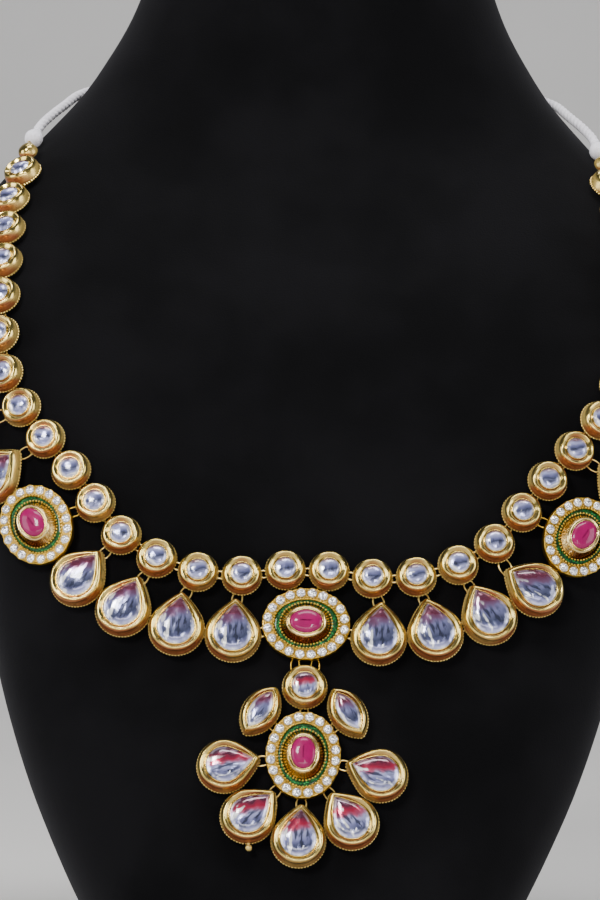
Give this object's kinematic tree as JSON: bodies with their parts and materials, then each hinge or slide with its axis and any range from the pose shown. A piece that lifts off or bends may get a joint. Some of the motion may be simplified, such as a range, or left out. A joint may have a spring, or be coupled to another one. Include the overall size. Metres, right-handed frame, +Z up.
{
  "type": "kundan necklace on a neck bust",
  "caption": "Kundan necklace of gold-set clear stones with ruby medallions and a fan pendant, lying on a plain black velvet neck bust.",
  "frame": {"origin": "on the table under the middle of the bust", "axes": "+Z up, -Y is the front where the pendant lies, +X is to the viewer's right when facing the front"},
  "size_m": [0.2036, 0.1734, 0.29],
  "materials": {
    "velvet": "matte black velvet with a short pile",
    "gold": "polished pale gold plate",
    "crystal": "clear cut stone over silver foil",
    "ruby": "polished pink ruby",
    "enamel": "glossy green enamel",
    "cord": "soft white thread"
  },
  "bodies": {
    "root": {"bust": "velvet", "centre_medallion": "gold", "left_medallion": "gold", "right_medallion": "gold", "pendant_medallion": "gold", "centre_ruby": "ruby", "left_ruby": "ruby", "right_ruby": "ruby", "pendant_ruby": "ruby", "centre_halo": "crystal", "left_halo": "crystal", "right_halo": "crystal", "pendant_halo": "crystal", "enamel_rings": "enamel", "left_drop_1": "gold", "left_drop_2": "gold", "left_drop_3": "gold", "left_drop_4": "gold", "right_drop_1": "gold", "right_drop_2": "gold", "right_drop_3": "gold", "right_drop_4": "gold", "left_drop_stone_1": "crystal", "left_drop_stone_2": "crystal", "left_drop_stone_3": "crystal", "left_drop_stone_4": "crystal", "right_drop_stone_1": "crystal", "right_drop_stone_2": "crystal", "right_drop_stone_3": "crystal", "right_drop_stone_4": "crystal", "left_round_row": "gold", "right_round_row": "gold", "left_round_stones": "crystal", "right_round_stones": "crystal", "left_shoulder_drops": "gold", "right_shoulder_drops": "gold", "left_shoulder_stones": "crystal", "right_shoulder_stones": "crystal", "connector": "gold", "connector_stone": "crystal", "left_leaf": "gold", "right_leaf": "gold", "leaf_stones": "crystal", "petal_1": "gold", "petal_2": "gold", "petal_3": "gold", "petal_4": "gold", "petal_5": "gold", "petal_stones": "crystal", "left_end": "gold", "right_end": "gold", "left_knot": "cord", "right_knot": "cord", "left_cord": "cord", "right_cord": "cord", "clasp": "gold"}
  },
  "joints": []
}
